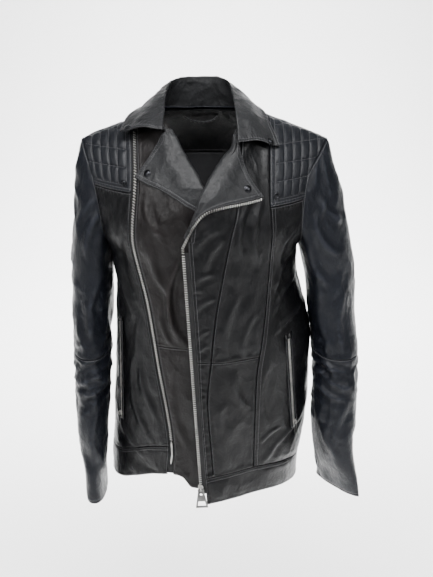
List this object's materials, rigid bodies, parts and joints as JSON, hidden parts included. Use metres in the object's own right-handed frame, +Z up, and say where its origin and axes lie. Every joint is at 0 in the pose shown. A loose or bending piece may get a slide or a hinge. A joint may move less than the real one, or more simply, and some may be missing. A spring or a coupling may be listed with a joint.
{
  "type": "leather riding jacket",
  "caption": "Waist-length black leather riding jacket with an off-centre zip, turned-back lapels, quilted shoulder yokes, zipped pockets and zipped cuffs.",
  "frame": {"origin": "the shoulder rest: on the midline, in the plane of the shoulder seams, at the height of the shoulders' high point beside the neck", "axes": "+Z up as worn, +X towards the wearer's left, so the chest faces -Y"},
  "size_m": [0.5538, 0.2787, 0.8052],
  "materials": {
    "black_leather": "soft semi-gloss black leather",
    "quilted_leather": "padded leather with stitched squares",
    "black_cloth": "plain woven lining and zip tape",
    "nickel": "bright nickel zip metal",
    "dark_metal": "dark gunmetal snaps"
  },
  "bodies": {
    "jacket_body": {"back_hem_band": "black_leather", "back_neck_facing": "black_leather", "back_panel": "black_leather", "back_yoke": "black_leather", "body_lining": "black_cloth", "collar_leaf": "black_leather", "collar_stand": "black_leather", "hanger_loop": "black_cloth", "left_collar_snap_cap": "dark_metal", "left_front_side_panel": "black_leather", "left_hem_band": "black_leather", "left_middle_lower_panel": "black_leather", "left_middle_upper_panel": "black_leather", "left_placket_lower_panel": "black_leather", "left_placket_upper_panel": "black_leather", "left_pocket_bag": "black_cloth", "left_pocket_zip_chain": "nickel", "left_shoulder_yoke": "quilted_leather", "left_yoke_stud": "dark_metal", "left_zip_chain": "nickel", "left_zip_tape": "black_cloth", "right_collar_snap_cap": "dark_metal", "right_front_inner_lower_panel": "black_leather", "right_front_inner_upper_panel": "black_leather", "right_front_side_panel": "black_leather", "right_hem_band": "black_leather", "right_pocket_bag": "black_cloth", "right_pocket_zip_chain": "nickel", "right_shoulder_yoke": "quilted_leather", "right_yoke_stud": "dark_metal", "right_zip_chain": "nickel", "right_zip_tape": "black_cloth", "zip_insertion_pin": "nickel", "zip_retainer_box": "nickel"},
    "right_lapel": {"right_lapel": "black_leather", "right_lapel_snap_cap": "dark_metal"},
    "left_lapel": {"left_lapel": "black_leather", "left_lapel_snap_cap": "dark_metal", "left_lapel_zip_chain": "nickel"},
    "main_zip_slider": {"main_zip_slider": "nickel"},
    "main_zip_puller": {"main_zip_puller": "nickel"},
    "right_pocket_zip_slider": {"right_pocket_zip_slider": "nickel"},
    "right_pocket_zip_puller": {"right_pocket_zip_puller": "nickel"},
    "right_upper_sleeve": {"right_upper_sleeve": "black_leather", "right_upper_sleeve_lining": "black_cloth"},
    "right_forearm_sleeve": {"right_cuff_zip_chain": "nickel", "right_forearm_lining": "black_cloth", "right_forearm_sleeve": "black_leather"},
    "right_cuff_zip_slider": {"right_cuff_zip_slider": "nickel"},
    "right_cuff_zip_puller": {"right_cuff_zip_puller": "nickel"},
    "left_pocket_zip_slider": {"left_pocket_zip_slider": "nickel"},
    "left_pocket_zip_puller": {"left_pocket_zip_puller": "nickel"},
    "left_upper_sleeve": {"left_upper_sleeve": "black_leather", "left_upper_sleeve_lining": "black_cloth"},
    "left_forearm_sleeve": {"left_cuff_zip_chain": "nickel", "left_forearm_lining": "black_cloth", "left_forearm_sleeve": "black_leather"},
    "left_cuff_zip_slider": {"left_cuff_zip_slider": "nickel"},
    "left_cuff_zip_puller": {"left_cuff_zip_puller": "nickel"}
  },
  "joints": [
    {"name": "main_zip_slide", "type": "slide", "parent": "jacket_body", "child": "main_zip_slider", "axis": [-0.0547, 0, 0.9985], "range_m": [0, 0.44]},
    {"name": "main_puller_hinge", "type": "hinge", "parent": "main_zip_slider", "child": "main_zip_puller", "pos_m": [-0.00873, -0.1688, -0.683], "axis": [-0.9985, 0, -0.0547], "range_deg": [0, 170]},
    {"name": "right_pocket_zip_slide", "type": "slide", "parent": "jacket_body", "child": "right_pocket_zip_slider", "axis": [0.0239, 0.0483, 0.9985], "range_m": [0, 0.184]},
    {"name": "right_pocket_puller_hinge", "type": "hinge", "parent": "right_pocket_zip_slider", "child": "right_pocket_zip_puller", "pos_m": [-0.1646, -0.09373, -0.55949], "axis": [-0.5613, 0.8272, -0.0266], "range_deg": [0, 165]},
    {"name": "right_lapel_hinge", "type": "hinge", "parent": "jacket_body", "child": "right_lapel", "pos_m": [-0.0012, -0.1387, -0.1035], "axis": [-0.4466, 0.6056, 0.6586], "range_deg": [0, 35]},
    {"name": "right_shoulder_swing", "type": "hinge", "parent": "jacket_body", "child": "right_upper_sleeve", "pos_m": [-0.2165, 0, -0.044], "axis": [0, 1, 0], "range_deg": [0, 70]},
    {"name": "right_elbow_bend", "type": "hinge", "parent": "right_upper_sleeve", "child": "right_forearm_sleeve", "pos_m": [-0.2162, -0.1007, -0.4456], "axis": [-1, 0, 0], "range_deg": [0, 75]},
    {"name": "right_cuff_zip_slide", "type": "slide", "parent": "right_forearm_sleeve", "child": "right_cuff_zip_slider", "axis": [-0.017, 0.1805, 0.9834], "range_m": [0, 0.1]},
    {"name": "right_cuff_puller_hinge", "type": "hinge", "parent": "right_cuff_zip_slider", "child": "right_cuff_zip_puller", "pos_m": [-0.23541, -0.02038, -0.73369], "axis": [0.7429, 0.6606, -0.1084], "range_deg": [-8, 150]},
    {"name": "left_pocket_zip_slide", "type": "slide", "parent": "jacket_body", "child": "left_pocket_zip_slider", "axis": [-0.0903, -0.0686, 0.9935], "range_m": [0, 0.173]},
    {"name": "left_pocket_puller_hinge", "type": "hinge", "parent": "left_pocket_zip_slider", "child": "left_pocket_zip_puller", "pos_m": [0.17146, -0.10663, -0.57191], "axis": [-0.7293, -0.6748, -0.1129], "range_deg": [0, 165]},
    {"name": "left_lapel_hinge", "type": "hinge", "parent": "jacket_body", "child": "left_lapel", "pos_m": [-0.04, -0.175, -0.159], "axis": [-0.5058, -0.4873, -0.7118], "range_deg": [0, 35]},
    {"name": "left_shoulder_swing", "type": "hinge", "parent": "jacket_body", "child": "left_upper_sleeve", "pos_m": [0.2165, 0, -0.044], "axis": [0, -1, 0], "range_deg": [0, 70]},
    {"name": "left_elbow_bend", "type": "hinge", "parent": "left_upper_sleeve", "child": "left_forearm_sleeve", "pos_m": [0.2476, -0.1004, -0.4456], "axis": [-1, 0, 0], "range_deg": [0, 75]},
    {"name": "left_cuff_zip_slide", "type": "slide", "parent": "left_forearm_sleeve", "child": "left_cuff_zip_slider", "axis": [0.0833, 0.2112, 0.9739], "range_m": [0, 0.097]},
    {"name": "left_cuff_puller_hinge", "type": "hinge", "parent": "left_cuff_zip_slider", "child": "left_cuff_zip_puller", "pos_m": [0.24814, -0.02636, -0.73058], "axis": [0.8397, -0.5411, 0.0455], "range_deg": [-12, 150]}
  ]
}
